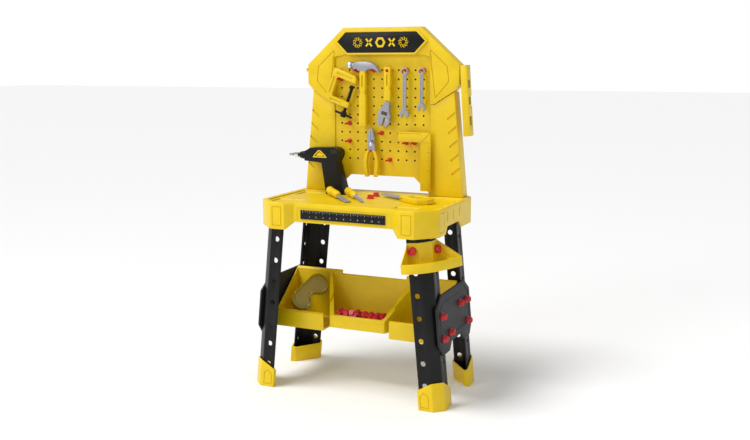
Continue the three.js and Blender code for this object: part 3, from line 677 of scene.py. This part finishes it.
class TOOLBENCH_OT_board(bpy.types.Operator):
    """Peg board with its head, columns, sign and hooks"""

    bl_idname = "tool_bench.board"
    bl_label = "Peg board"
    bl_options = {"REGISTER", "UNDO"}

    def execute(self, context):
        self.make_board()
        for name, side in (("left", -1), ("right", 1)):
            self.make_column("column_" + name, side)
            moulding("hook_" + name, yellow_abs(), 0.5)
        self.make_sign()
        return {"FINISHED"}

    def make_board(self):
        x0, x1 = -BOARD_CELLS / 2 * GRID, BOARD_CELLS / 2 * GRID
        z0, z1 = GRID_TOP - (BOARD_CELLS - 0.5) * GRID, GRID_TOP + 0.5 * GRID
        bm = node_mesh("back_panel")
        front, back = at(0, BOARD_Y, 0).y, at(0, BOARD_Y + BOARD_T, 0).y

        def off_the_sheet(edge):
            depths = [v.co.y for v in edge.verts]
            return max(depths) < front - 0.5 * MM or min(depths) > back + 1 * MM

        rounded(bm, 1.8, keep=off_the_sheet)
        for x in (x0, x1):
            split(bm, at(x, 0, 0), (1, 0, 0))
        for z in (z0, z1):
            split(bm, at(0, 0, z), (0, 0, 1))
        low, high = at(x0, 0, z0), at(x1, 0, z1)
        field = [f for f in bm.faces
                 if low.x < f.calc_center_median().x < high.x and low.z < f.calc_center_median().z < high.z
                 and abs(f.calc_center_median().y - front) < 1e-5]
        bmesh.ops.delete(bm, geom=field, context="FACES")
        for side in (-1, 1):
            kite = [(138, 884), (140, 891), (188, 848), (193, 808), (154, 763)]
            scored(bm, [at(side * x, BOARD_Y - 8, z) for x, z in kite], (0, -1, 0), 2.2, 1.6)
        piece = finished("back_panel_moulding", bm, HOME["back_panel"], yellow_abs())
        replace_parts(piece, "back_panel")
        hole = bpy.context.scene.tool_bench_sizes.hole
        sheet = holed_board(x0, z0, hole)
        rims = [e for e in sheet.edges if e.is_boundary and self.in_field(e, low, high)]
        walls = bmesh.ops.extrude_edge_only(sheet, edges=rims)["geom"]
        bottoms = [v for v in walls if isinstance(v, bmesh.types.BMVert)]
        bmesh.ops.translate(sheet, verts=bottoms, vec=(0, (BOARD_T - 0.3) * MM, 0))
        deep = [e for e in walls if isinstance(e, bmesh.types.BMEdge) and e.is_boundary]
        bmesh.ops.holes_fill(sheet, edges=deep, sides=0)
        bmesh.ops.recalc_face_normals(sheet, faces=sheet.faces)
        if sum(f.normal.y * f.calc_area() for f in sheet.faces) > 0:
            bmesh.ops.reverse_faces(sheet, faces=sheet.faces)
        board = finished("peg_board", sheet, HOME["back_panel"], yellow_abs())
        # Painted shade: the walls and bottoms of the peg holes take the dark brown colour
        zone(board, painted_shade_and_marks(), lambda c: c.y > front + 1 * MM)

    @staticmethod
    def in_field(edge, low, high):
        gap = 2 * MM
        return all(low.x + gap < v.co.x < high.x - gap and low.z + gap < v.co.z < high.z - gap
                   for v in edge.verts)

    def make_column(self, node, side):
        def grooves(bm):
            low, high = Vector((214, BOARD_Y - 4, 574)), Vector((199, BOARD_Y - 4, 719))
            count, half_run, half_rise = 5, 15, 2.6
            run = Vector((30, 0, 25)).normalized()
            rise = Vector((-run.z, 0, run.x))
            for i in range(count):
                middle = low.lerp(high, i / (count - 1))
                corners = [middle + run * half_run * a + rise * half_rise * b
                           for a, b in ((-1, -1), (1, -1), (1, 1), (-1, 1))]
                sunk(bm, [at(side * c.x, c.y, c.z) for c in corners], (0, -1, 0), 3.0, 0.3)

        moulding(node, yellow_abs(), size("edge"), grooves)

    def make_sign(self):
        upright = Matrix.Translation(at(0, BOARD_Y - 8, 0)) @ TO_USER
        around = [(104.5, 942.5), (134.3, 913), (99.5, 877.5)]
        frame_bar = rounded(ring(around + [(-x, z) for x, z in reversed(around)], 5.2, 0, 6.6), 1.2)
        placed(frame_bar, upright)
        finished("sign_border", frame_bar, HOME["sign_plate"], yellow_abs())
        moulding("sign_plate", black_pp(), 0.6)
        marks = []
        tip, root, teeth = 15, 11.5, 9
        for x, gear in ((-66, True), (0, False), (66, True)):
            count = teeth * 4 if gear else 6
            points = []
            for i in range(count):
                reach = root if gear and i % 4 > 1 else tip
                angle = math.tau * i / count
                points.append((x + reach * math.cos(angle), SIGN_Z + reach * math.sin(angle)))
            marks.append(ring(points, 5.5, 5.2, 6.0))
        for x in (-33, 33):
            for lean in (-0.7, 0.7):
                spot = moved(x, SIGN_Z, 0) @ Matrix.Rotation(lean, 4, "Z")
                marks.append(placed(box(-2.4, 2.4, -13, 13, 5.2, 6.0), spot))
        emblem = placed(gathered(marks), upright)
        finished("sign_marks", emblem, HOME["sign_plate"], yellow_abs())


class TOOLBENCH_OT_pegs(bpy.types.Operator):
    """Red pegs, each a pin with a flange"""

    bl_idname = "tool_bench.pegs"
    bl_label = "Pegs"
    bl_options = {"REGISTER", "UNDO"}

    def execute(self, context):
        profile = [(0, -8.8), (1.6, -8.8), (2.6, -7.6), (2.6, 0.3), (6.0, 0.3), (6.5, 0.9), (6.5, 2.2),
                   (5.8, 2.9), (3.4, 3.4), (2.75, 5.2), (2.75, 29.5), (2.2, 31.2), (1.2, 31.8), (0, 31.9)]
        for node in [n for n in frame["nodes"] if n.startswith("peg_")]:
            low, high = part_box(node)
            seat = Vector(((low.x + high.x) / 2, at(0, BOARD_Y, 0).y, (low.z + high.z) / 2))
            bm = placed(turned(profile, 24), Matrix.Translation(seat) @ TO_USER)
            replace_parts(finished(node + "_turned", bm, HOME[node], red_abs()), node)
        return {"FINISHED"}


# ---- tools ----
class TOOLBENCH_OT_level(bpy.types.Operator):
    """Spirit level with vial windows darkened by painted shade"""

    bl_idname = "tool_bench.level"
    bl_label = "Spirit level"
    bl_options = {"REGISTER", "UNDO"}

    def execute(self, context):
        spot = Matrix.Translation(at(226.5, 123, 758)) @ Matrix.Rotation(-0.07, 4, "Y")
        out = spot.to_3x3() @ Vector((1, 0, 0))

        def windows(bm):
            for z in (0, 44):
                corners = ((-9, -10), (9, -10), (9, 10), (-9, 10))
                outline = [spot @ (Vector((18, y, z + w)) * MM) for y, w in corners]
                sunk(bm, outline, out, 3.0)

        moulding("spirit_level", yellow_abs(), 1.0, windows)
        for i, z in enumerate((-52, 0, 44)):
            # Painted shade: a dark sheet behind each vial stands in for the shade inside the window
            pane = placed(box(14.2, 15.4, -8.4, 8.4, z - 9.4, z + 9.4), spot)
            finished(f"level_pane_{i + 1}", pane, HOME["spirit_level"], painted_shade_and_marks())
            profile = [(0, -8.6), (2.6, -8.6), (3.2, -7.6), (3.4, 0), (3.2, 7.6), (2.6, 8.6), (0, 8.6)]
            tube = turned(profile, 20)
            placed(tube, spot @ moved(14, 0, z))
            finished(f"level_vial_{i + 1}", tube, HOME["spirit_level"], amber_pc())
        return {"FINISHED"}


class TOOLBENCH_OT_hammer(bpy.types.Operator):
    """Hammer with a bright face"""

    bl_idname = "tool_bench.hammer"
    bl_label = "Hammer"
    bl_options = {"REGISTER", "UNDO"}

    def execute(self, context):
        moulding("hammer_handle", yellow_abs(), 2.2)
        moulding("hammer_head", grey_abs(), 1.2)
        centre = at(-87, TOOL_Y, 849.5)
        profile = [(0, -8.5), (5.5, -8.2), (8.6, -5.4), (9.9, -1.2), (9.9, 3.4), (8, 6.4), (5, 7.4), (0, 7.4)]
        face = turned(profile)
        placed(face, Matrix.Translation(centre) @ TO_SIDE)
        finished("hammer_face", face, HOME["hammer_head"], bright_plate())
        return {"FINISHED"}


class TOOLBENCH_OT_wrenches(bpy.types.Operator):
    """Two combination wrenches and the adjustable wrench"""

    bl_idname = "tool_bench.wrenches"
    bl_label = "Wrenches"
    bl_options = {"REGISTER", "UNDO"}

    def execute(self, context):
        wrenches = (("wrench_large", 72, 1, 820, 738), ("wrench_small", 120, 0.88, 822, 752))
        for node, x, width, top, low in wrenches:
            def shank(bm, x=x, width=width, top=top, low=low):
                half = 2.9 * width
                corners = ((-half, low), (half, low), (half, top), (-half, top))
                outline = [at(x + u, TOOL_Y - 3, z) for u, z in corners]
                sunk(bm, outline, (0, -1, 0), 0.9, 0.4)

            moulding(node, grey_abs(), 0.9, shank)
        moulding("adjustable_handle", yellow_abs(), 1.6)
        moulding("adjustable_body", grey_abs(), 1.0)
        moulding("adjustable_jaw", grey_abs(), 0.8)
        head = Matrix.Translation(at(24, TOOL_Y, GRID_TOP - 84)) @ Matrix.Rotation(0.3, 4, "Y")
        ridges = []
        for i in range(9):
            ridge = turned([(0, 0), (2.2, 0), (2.9, 0.45), (2.2, 0.9), (0, 0.9)], 20)
            ridges.append(placed(ridge, moved(i * 1.1 - 4.0, -3.9, -31) @ TO_SIDE))
        # Painted shade: a dark block behind the worm stands in for the shade in the wrench's window
        window_shade = placed(rounded(box(-7.5, 9.5, -6.3, -5.6, -35.5, -26.5), 0.2), head)
        body, slot = HOME["adjustable_body"], SLOT["adjustable_body"]
        finished("adjustable_window", window_shade, body, painted_shade_and_marks())
        finished("adjustable_worm", placed(gathered(ridges), head), body, grey_abs())
        return {"FINISHED"}


class TOOLBENCH_OT_pliers(bpy.types.Operator):
    """Pliers with dipped grips and a rivet"""

    bl_idname = "tool_bench.pliers"
    bl_label = "Pliers"
    bl_options = {"REGISTER", "UNDO"}

    def execute(self, context):
        pivot = at(-24, TOOL_Y, 638)
        grip_top = pivot - Vector((0, 0, GRIP_DROP * MM))
        for node in ("pliers_arm_left", "pliers_arm_right"):
            piece = moulding(node, grey_abs(), 1.1, lambda bm: split(bm, grip_top, (0, 0, 1)))
            zone(piece, yellow_abs(), lambda c: c.z < grip_top.z)
        rivet = turned([(0, 0), (5, 0), (5, 0.5), (3.8, 1.2), (0, 1.5)], 28)
        placed(rivet, Matrix.Translation(pivot + Vector((0, -6 * MM, 0))) @ TO_USER)
        finished("pliers_rivet", rivet, HOME["pliers_arm_left"], bright_plate())
        return {"FINISHED"}


class TOOLBENCH_OT_square(bpy.types.Operator):
    """Try square with graduations on its blade"""

    bl_idname = "tool_bench.square"
    bl_label = "Try square"
    bl_options = {"REGISTER", "UNDO"}

    def execute(self, context):
        moulding("try_square", yellow_abs(), 0.8)
        top, edge, step = 674, 146.2, 5
        marks = []
        for i in range(24):
            reach = 9 if i % 5 == 0 else 5
            z = top - 152 + i * step
            marks.append(box(edge - reach, edge, TOOL_Y - 3.1, TOOL_Y - 2.6, z, z + 0.6))
        marks.append(box(60, 120, TOOL_Y - 5.1, TOOL_Y - 4.6, top - 3.4, top - 2.6))
        corner = moved(134.4, TOOL_Y - 5.0, top - 12.6) @ Matrix.Rotation(-0.785, 4, "Y")
        marks.append(placed(box(-17, 17, -0.1, 0.4, -0.4, 0.4), corner))
        drawn = placed(gathered(marks), Matrix.Translation(CENTRE))
        finished("square_marks", drawn, HOME["try_square"], painted_shade_and_marks())
        return {"FINISHED"}


class TOOLBENCH_OT_clamp(bpy.types.Operator):
    """Screw clamp"""

    bl_idname = "tool_bench.clamp"
    bl_label = "Clamp"
    bl_options = {"REGISTER", "UNDO"}

    def execute(self, context):
        moulding("clamp_frame", yellow_abs(), 1.2)
        moulding("clamp_screw", black_pp(), 0.7)
        spot = Matrix.Translation(at(-112, TOOL_Y, 788)) @ Matrix.Rotation(0.35, 4, "Y")
        ridges = []
        for i in range(11):
            ridge = turned([(0, 0), (4.3, 0), (4.75, 0.8), (4.3, 1.6), (0, 1.6)], 20)
            ridges.append(placed(ridge, spot @ moved(28, 0, -18 + i * 2.6)))
        finished("clamp_thread", gathered(ridges), HOME["clamp_screw"], black_pp())
        return {"FINISHED"}


class TOOLBENCH_OT_drill(bpy.types.Operator):
    """Cordless drill with its badges, the painted shade of its vents, and its bit"""

    bl_idname = "tool_bench.drill"
    bl_label = "Drill"
    bl_options = {"REGISTER", "UNDO"}

    def execute(self, context):
        piece = moulding("drill_body", black_pp(), 3.0)
        zone(piece, charcoal_pp(), lambda c: c.z < at(0, 0, 524).z)
        moulding("drill_trigger", black_pp(), 0.8)
        moulding("drill_chuck", black_pp(), 0.8)
        low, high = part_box("drill_chuck")
        nose = Matrix.Translation(Vector((low.x, (low.y + high.y) / 2, (low.z + high.z) / 2))) @ TO_SIDE
        collar = turned([(0, 14), (5.4, 14), (6, 15), (6, 26), (7.5, 28), (0, 28)], 28)
        profile = [(0, 0.1), (2.6, 0.1), (3.6, 1.4), (3.6, 9), (2.4, 11), (2.4, 13), (3.8, 14), (3.8, 20),
                   (0, 20)]
        bit = turned(profile, 6)
        driver = placed(gathered([bit, collar]), nose)
        finished("drill_bit", driver, HOME["drill_chuck"], bright_plate())
        mark = [(-178, 600), (-134, 600), (-140, 608), (-154, 620), (-161, 620), (-172, 609)]
        inner = [(x * 0.55 - 70, (z - 600) * 0.5 + 604.5) for x, z in mark]
        for front, name in ((-1, "front"), (1, "rear")):
            badge = gathered([rounded(ring(mark, 3.2, -0.6, 1.0), 0.3), prism(inner, -0.6, 0.6)])
            spot = at(DRILL_X, DRILL_Y + front * DRILL_HALF_T, 0)
            placed(badge, Matrix.Translation(spot) @ TO_USER)
            finished("drill_badge_" + name, badge, HOME["drill_body"], yellow_abs())
        # Painted shade: dark slips in the vent slots stand in for the shade inside them
        y = DRILL_Y - DRILL_HALF_T
        lefts = [DRILL_X - 122 + i * 5 for i in range(4)]
        vents = [box(x, x + 2, y - 0.3, y + 0.6, 612, 624) for x in lefts]
        vent_shade = placed(gathered(vents), Matrix.Translation(CENTRE))
        finished("drill_vents", vent_shade, HOME["drill_body"], painted_shade_and_marks())
        return {"FINISHED"}


class TOOLBENCH_OT_hand_tools(bpy.types.Operator):
    """Chisel, screwdriver and hand saw on the worktop"""

    bl_idname = "tool_bench.hand_tools"
    bl_label = "Chisel, screwdriver and saw"
    bl_options = {"REGISTER", "UNDO"}

    def execute(self, context):
        lying = {
            "chisel": (at(-125, 38, DECK_Z + 15.6), -0.78, 0.075, 76.0),
            "screwdriver": (at(-74, 48, DECK_Z + 15), -0.84, 0.08, 72.5),
        }
        for node, (place, heading, dip, grip) in lying.items():
            back = turn_to(place, heading, dip).inverted()
            piece = moulding(node, yellow_abs(), 0.5)
            zone(piece, grey_abs(), lambda c, back=back, grip=grip: (back @ c).x > grip * MM)
            bands = []
            for i in range(3):
                band = turned([(0, 0), (9.4, 0), (10.0, 0.8), (9.4, 1.6), (0, 1.6)], 24)
                bands.append(placed(band, moved(34 + i * 5, 0, 0) @ TO_SIDE))
            rings = placed(gathered(bands), back.inverted())
            finished(node + "_bands", rings, HOME[node], yellow_abs())
        moulding("saw_handle", yellow_abs(), 2.4)
        moulding("saw_blade", grey_abs(), 0.4)
        return {"FINISHED"}


def toy_bolt():
    """Flanged hexagonal head and shank along +Z."""
    flange = turned([(0, 0), (9.6, 0), (10.2, 0.8), (10.2, 1.8), (9.4, 2.5), (0, 2.5)], 20)
    head = bmesh.new()
    bmesh.ops.create_cone(head, cap_ends=True, segments=6, radius1=7.8 * MM, radius2=7.2 * MM, depth=7 * MM)
    bmesh.ops.translate(head, verts=head.verts, vec=(0, 0, 5.6 * MM))
    shank = turned([(0, -15), (3.2, -15), (4.4, -13.6), (4.4, 0.2), (0, 0.2)], 16)
    return gathered([flange, head, shank])


class TOOLBENCH_OT_loose_parts(bpy.types.Operator):
    """Loose nuts on the worktop and bolts heaped in the shelf"""

    bl_idname = "tool_bench.loose_parts"
    bl_label = "Nuts and bolts"
    bl_options = {"REGISTER", "UNDO"}

    def execute(self, context):
        for node in ("loose_nut_1", "loose_nut_2"):
            moulding(node, red_abs(), 0.5)
        chance = random.Random(7)
        low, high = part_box("bolt_heap")
        bolts = []
        columns = int((high.x - low.x) / (17 * MM))
        for layer in range(3):
            for row in range(2):
                for i in range(columns):
                    x = low.x + (12 + (i + 0.4 * (layer % 2)) * 17) * MM
                    y = low.y + (12 + row * 15) * MM
                    z = high.z - (8 + layer * 12 + chance.uniform(0, 5)) * MM
                    turn = Matrix.Rotation(chance.uniform(-1.3, 1.3), 4, "Z")
                    tip = Matrix.Rotation(math.pi / 2 + chance.uniform(-0.6, 0.6), 4, "X")
                    middle = moved(0, 0, 4)
                    bolts.append(placed(toy_bolt(), Matrix.Translation((x, y, z)) @ turn @ tip @ middle))
        piece = finished("bolts_heaped", gathered(bolts), HOME["bolt_heap"], red_abs())
        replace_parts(piece, "bolt_heap")
        return {"FINISHED"}


class TOOLBENCH_OT_goggles(bpy.types.Operator):
    """Play goggles in the left tray"""

    bl_idname = "tool_bench.goggles"
    bl_label = "Goggles"
    bl_options = {"REGISTER", "UNDO"}

    def execute(self, context):
        front = Vector((0.4847, -0.7413, 0.4642))

        def lens(bm):
            pane = [f for f in bm.faces if f.normal.dot(front) > 0.97]
            bmesh.ops.inset_region(bm, faces=pane, thickness=1.2 * MM, use_even_offset=True)
            bmesh.ops.inset_region(bm, faces=pane, thickness=3.4 * MM, depth=1.2 * MM, use_even_offset=True)
            bmesh.ops.inset_region(bm, faces=pane, thickness=1.4 * MM, depth=-1.8 * MM, use_even_offset=True)
            for face in pane:
                face.material_index = 1

        piece = moulding("goggles", amber_pc(), 0.8, lens, smooth=50)
        piece.data.materials.append(lens_pc())
        return {"FINISHED"}


# ---- stage ----
class TOOLBENCH_OT_stage(bpy.types.Operator):
    """Pale floor, soft studio light and camera"""

    bl_idname = "tool_bench.stage"
    bl_label = "Stage"
    bl_options = {"REGISTER", "UNDO"}

    def execute(self, context):
        self.make_floor()
        self.make_lights()
        camera = bpy.data.objects.new("camera", bpy.data.cameras.new("camera"))
        bpy.context.scene.collection.objects.link(camera)
        camera.data.lens = CAMERA_LENS
        camera.data.clip_end = 60
        camera.location = at(*CAMERA_PLACE)
        camera.rotation_euler = (math.radians(90 - CAMERA_DIP), 0, math.radians(CAMERA_TURN))
        bpy.context.scene.camera = camera
        return {"FINISHED"}

    def make_floor(self):
        bm = bmesh.new()
        bmesh.ops.create_grid(bm, x_segments=1, y_segments=1, size=30)
        mesh = bpy.data.meshes.new("floor")
        bm.to_mesh(mesh)
        bm.free()
        floor = bpy.data.objects.new("floor", mesh)
        bpy.context.scene.collection.objects.link(floor)
        material = bpy.data.materials.new("studio_floor_painted")
        material.use_nodes = True
        shader = material.node_tree.nodes["Principled BSDF"]
        shader.inputs["Base Color"].default_value = (*srgb("#F4F4F4"), 1)
        shader.inputs["Roughness"].default_value = 0.7
        mesh.materials.append(material)

    def make_lights(self):
        bpy.context.scene.view_settings.view_transform = "Standard"
        world = bpy.data.worlds.new("studio")
        world.use_nodes = True
        tree = world.node_tree
        tree.nodes.clear()
        # The backdrop is white where it is seen, and half as strong where it lights the bench
        seen = add_node(tree, "ShaderNodeLightPath").outputs["Is Camera Ray"]
        power = add_node(tree, "ShaderNodeMapRange", {"Value": seen}, {"To Min": 0.5, "To Max": 1.0})
        sky = add_node(tree, "ShaderNodeBackground", {"Strength": power.outputs[0]}, {"Color": (1, 1, 1, 1)})
        add_node(tree, "ShaderNodeOutputWorld", {"Surface": sky.outputs[0]})
        bpy.context.scene.world = world
        sun = bpy.data.objects.new("overhead_light", bpy.data.lights.new("overhead_light", "SUN"))
        sun.data.energy = 2.0
        sun.data.angle = math.radians(24)
        sun.rotation_euler = Vector((0.42, 0.3, -1.0)).to_track_quat("-Z", "Y").to_euler()
        bpy.context.scene.collection.objects.link(sun)
        for name, place, width, power in (
            ("key_light", (-1.4, -2.6, 2.2), 1.0, 26),
            ("fill_light", (2.6, -1.6, 1.8), 1.6, 8),
        ):
            light = bpy.data.objects.new(name, bpy.data.lights.new(name, "AREA"))
            light.data.energy = power
            light.data.size = width
            light.location = place
            light.rotation_euler = (Vector((0, 0, 0.5)) - light.location).to_track_quat("-Z", "Y").to_euler()
            bpy.context.scene.collection.objects.link(light)


OPERATORS = (
    TOOLBENCH_OT_stage,
    TOOLBENCH_OT_worktop,
    TOOLBENCH_OT_legs,
    TOOLBENCH_OT_side_panels,
    TOOLBENCH_OT_shelf,
    TOOLBENCH_OT_bin,
    TOOLBENCH_OT_board,
    TOOLBENCH_OT_pegs,
    TOOLBENCH_OT_level,
    TOOLBENCH_OT_hammer,
    TOOLBENCH_OT_wrenches,
    TOOLBENCH_OT_pliers,
    TOOLBENCH_OT_square,
    TOOLBENCH_OT_clamp,
    TOOLBENCH_OT_drill,
    TOOLBENCH_OT_hand_tools,
    TOOLBENCH_OT_loose_parts,
    TOOLBENCH_OT_goggles,
)


class TOOLBENCH_PT_panel(bpy.types.Panel):
    """Lists the pieces of the bench"""

    bl_idname = "TOOLBENCH_PT_panel"
    bl_label = "Toy Tool Bench"
    bl_space_type = "VIEW_3D"
    bl_region_type = "UI"
    bl_category = "Tool Bench"

    def draw(self, context):
        for operator in OPERATORS:
            self.layout.operator(operator.bl_idname)
        for group in (context.scene.tool_bench_sizes, context.scene.tool_bench_colours):
            for key in group.__annotations__:
                self.layout.prop(group, key)


CLASSES = (ToolBenchColours, ToolBenchSizes, *OPERATORS, TOOLBENCH_PT_panel)


def register():
    for cls in CLASSES:
        bpy.utils.register_class(cls)
    bpy.types.Scene.tool_bench_colours = PointerProperty(type=ToolBenchColours)
    bpy.types.Scene.tool_bench_sizes = PointerProperty(type=ToolBenchSizes)


def unregister():
    del bpy.types.Scene.tool_bench_sizes
    del bpy.types.Scene.tool_bench_colours
    for cls in reversed(CLASSES):
        bpy.utils.unregister_class(cls)


def main():
    register()
    for operator in OPERATORS:
        group, name = operator.bl_idname.split(".")
        getattr(getattr(bpy.ops, group), name)()


if __name__ == "__main__":
    main()
